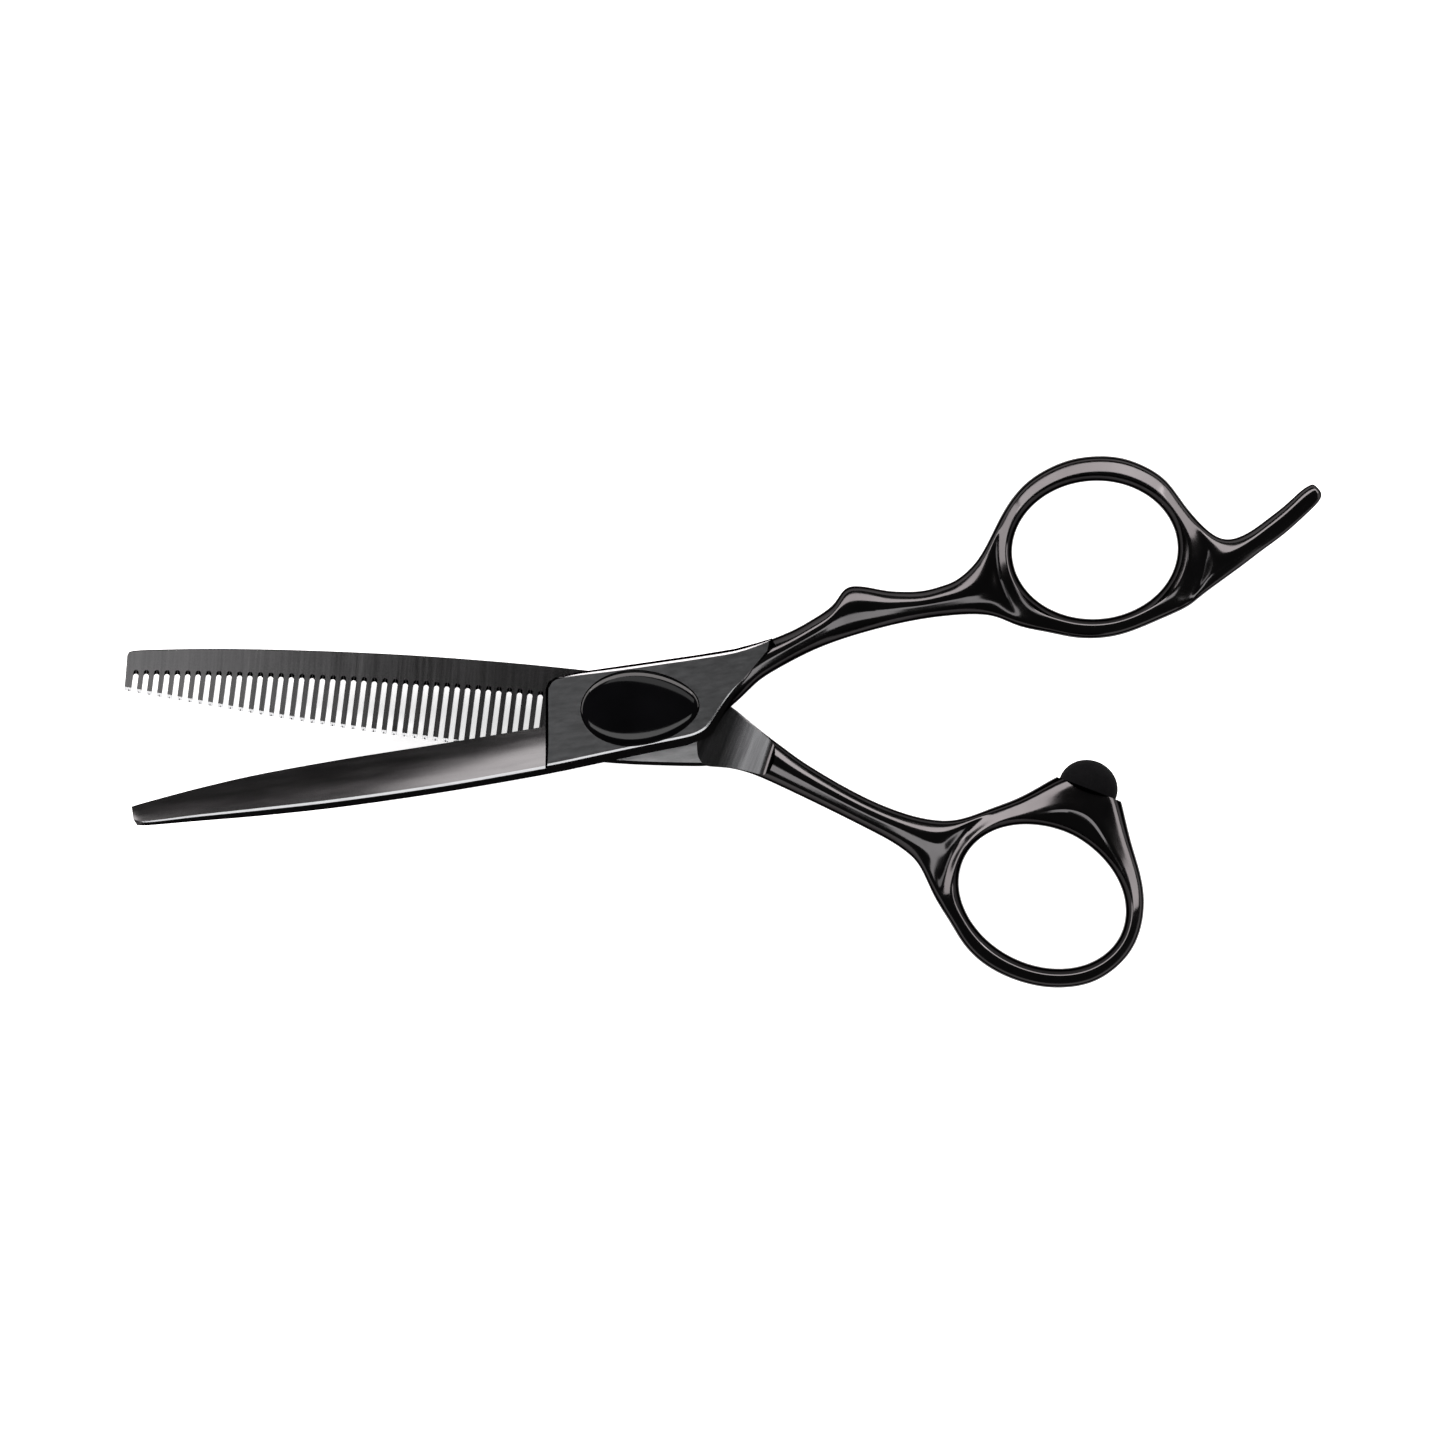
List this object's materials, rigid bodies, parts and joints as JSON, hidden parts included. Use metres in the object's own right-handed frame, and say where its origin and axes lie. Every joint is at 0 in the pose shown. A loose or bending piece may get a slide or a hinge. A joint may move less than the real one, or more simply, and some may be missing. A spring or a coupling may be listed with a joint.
{
  "type": "thinning shears",
  "caption": "Black hairdressing thinning shears with a toothed and a solid blade, oval pivot cover, finger rings, a fixed finger rest and a round rubber stop.",
  "frame": {"origin": "on the pivot axis at the back face of the pivot screw's head, the plane the shears lie on", "axes": "+Z along the pivot axis towards the oval cover, +X from the blades to the finger rings, +Y towards the finger ring's side"},
  "size_m": [0.1662, 0.0739, 0.0083],
  "materials": {
    "coated_front": "mirror black coating on steel",
    "coated_comb": "black coating, brushed on the comb",
    "cap_gloss": "gloss black",
    "rubber_black": "matt",
    "steel_bright": "ground steel",
    "cage_brass": "stamped",
    "nylon_white": "natural nylon"
  },
  "bodies": {
    "front": {"front_half": "coated_front", "oval_cap": "cap_gloss", "threaded_insert": "steel_bright"},
    "comb": {"comb_half": "coated_comb", "rubber_bumper": "rubber_black", "upper_race": "steel_bright", "glide_washer": "nylon_white"},
    "screw": {"pivot_screw": "steel_bright", "lower_race": "steel_bright", "wave_washer": "steel_bright"},
    "cage": {"ball_cage": "cage_brass", "bearing_ball_01": "steel_bright", "bearing_ball_02": "steel_bright", "bearing_ball_03": "steel_bright", "bearing_ball_04": "steel_bright", "bearing_ball_05": "steel_bright", "bearing_ball_06": "steel_bright", "bearing_ball_07": "steel_bright", "bearing_ball_08": "steel_bright", "bearing_ball_09": "steel_bright", "bearing_ball_10": "steel_bright"}
  },
  "joints": [
    {"name": "shear_pivot", "type": "hinge", "parent": "front", "child": "comb", "pos_m": [0, 0, 0.0042], "axis": [0, 0, 1], "range_deg": [-35, 14.5]},
    {"name": "tension_screw", "type": "hinge", "parent": "front", "child": "screw", "pos_m": [0, 0, 0.0005], "axis": [0, 0, 1], "range_deg": [-45, 45]},
    {"name": "bearing_cage", "type": "hinge", "parent": "front", "child": "cage", "pos_m": [0, 0, 0.00211], "axis": [0, 0, 1], "range_deg": [-18, 7.5]}
  ],
  "couplings": [
    {"joint": "bearing_cage", "follows": "shear_pivot", "ratio": 0.5}
  ]
}
